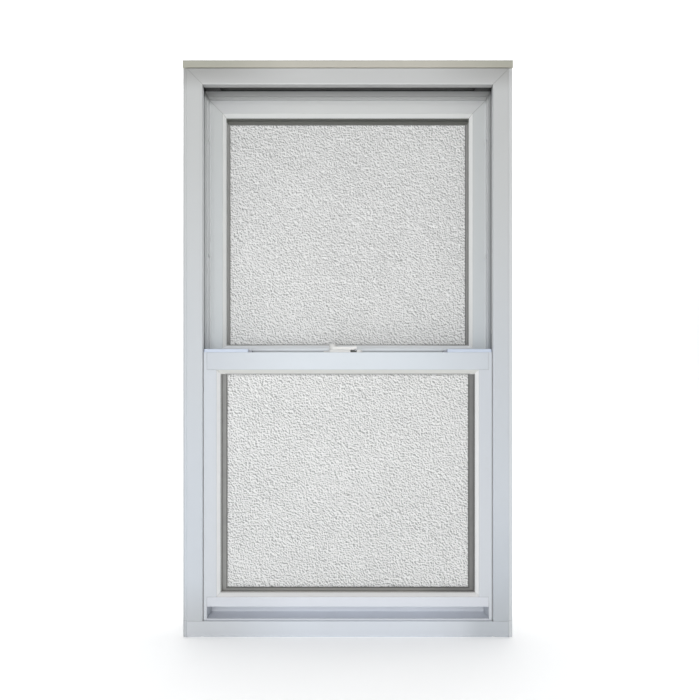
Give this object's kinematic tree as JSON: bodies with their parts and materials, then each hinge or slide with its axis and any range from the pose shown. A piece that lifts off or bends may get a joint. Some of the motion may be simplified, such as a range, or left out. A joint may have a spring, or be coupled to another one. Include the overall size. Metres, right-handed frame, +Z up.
{
  "type": "vertical sliding window",
  "caption": "White vinyl vertical sliding window with two tilting sashes, obscure glass, a cam lock, tilt latches and a finger recess in the bottom rail.",
  "frame": {"origin": "middle of the sill's flat underside", "axes": "+X to the right seen from the room, +Y from the room to the outside, +Z up"},
  "size_m": [0.61, 0.0865, 1.067],
  "materials": {
    "vinyl_white": "satin white extruded vinyl",
    "expander_beige": "matt beige-grey vinyl",
    "obscure_glass": "frosted, pebbled face",
    "clear_glass": "clear float glass",
    "gasket_grey": "matt grey",
    "spacer_grey": "dull dark grey spacer",
    "pile_grey": "grey pile",
    "zinc": "zinc-plated steel",
    "shoe_plastic": "matt black plastic",
    "plug_grey": "matt dark grey plastic",
    "lock_white": "white painted die casting",
    "latch_white": "white moulded plastic"
  },
  "bodies": {
    "root": {"cam_lock_base": "lock_white", "cam_lock_keeper": "lock_white", "cam_lock_lever": "lock_white", "frame_head": "vinyl_white", "frame_jamb_left": "vinyl_white", "frame_jamb_right": "vinyl_white", "frame_sill": "vinyl_white", "head_end_plugs": "plug_grey", "head_expander": "expander_beige", "lower_sash_balance_tubes": "zinc", "lower_sash_bottom_rail": "vinyl_white", "lower_sash_bottom_seal": "pile_grey", "lower_sash_gasket": "gasket_grey", "lower_sash_inner_pane": "obscure_glass", "lower_sash_meeting_rail": "vinyl_white", "lower_sash_outer_pane": "clear_glass", "lower_sash_pivot_bars": "zinc", "lower_sash_pivot_shoes": "shoe_plastic", "lower_sash_side_seals": "pile_grey", "lower_sash_spacer": "spacer_grey", "lower_sash_stile_left": "vinyl_white", "lower_sash_stile_right": "vinyl_white", "meeting_rail_seal": "pile_grey", "sill_weep_covers": "vinyl_white", "tilt_latch_left": "latch_white", "tilt_latch_right": "latch_white", "track_covers_outside": "vinyl_white", "track_covers_room_side": "vinyl_white", "upper_sash_balance_tubes": "zinc", "upper_sash_gasket": "gasket_grey", "upper_sash_inner_pane": "obscure_glass", "upper_sash_meeting_rail": "vinyl_white", "upper_sash_outer_pane": "clear_glass", "upper_sash_pivot_bars": "zinc", "upper_sash_pivot_shoes": "shoe_plastic", "upper_sash_side_seals": "pile_grey", "upper_sash_spacer": "spacer_grey", "upper_sash_stile_left": "vinyl_white", "upper_sash_stile_right": "vinyl_white", "upper_sash_top_rail": "vinyl_white", "upper_sash_top_seal": "pile_grey"}
  },
  "joints": []
}
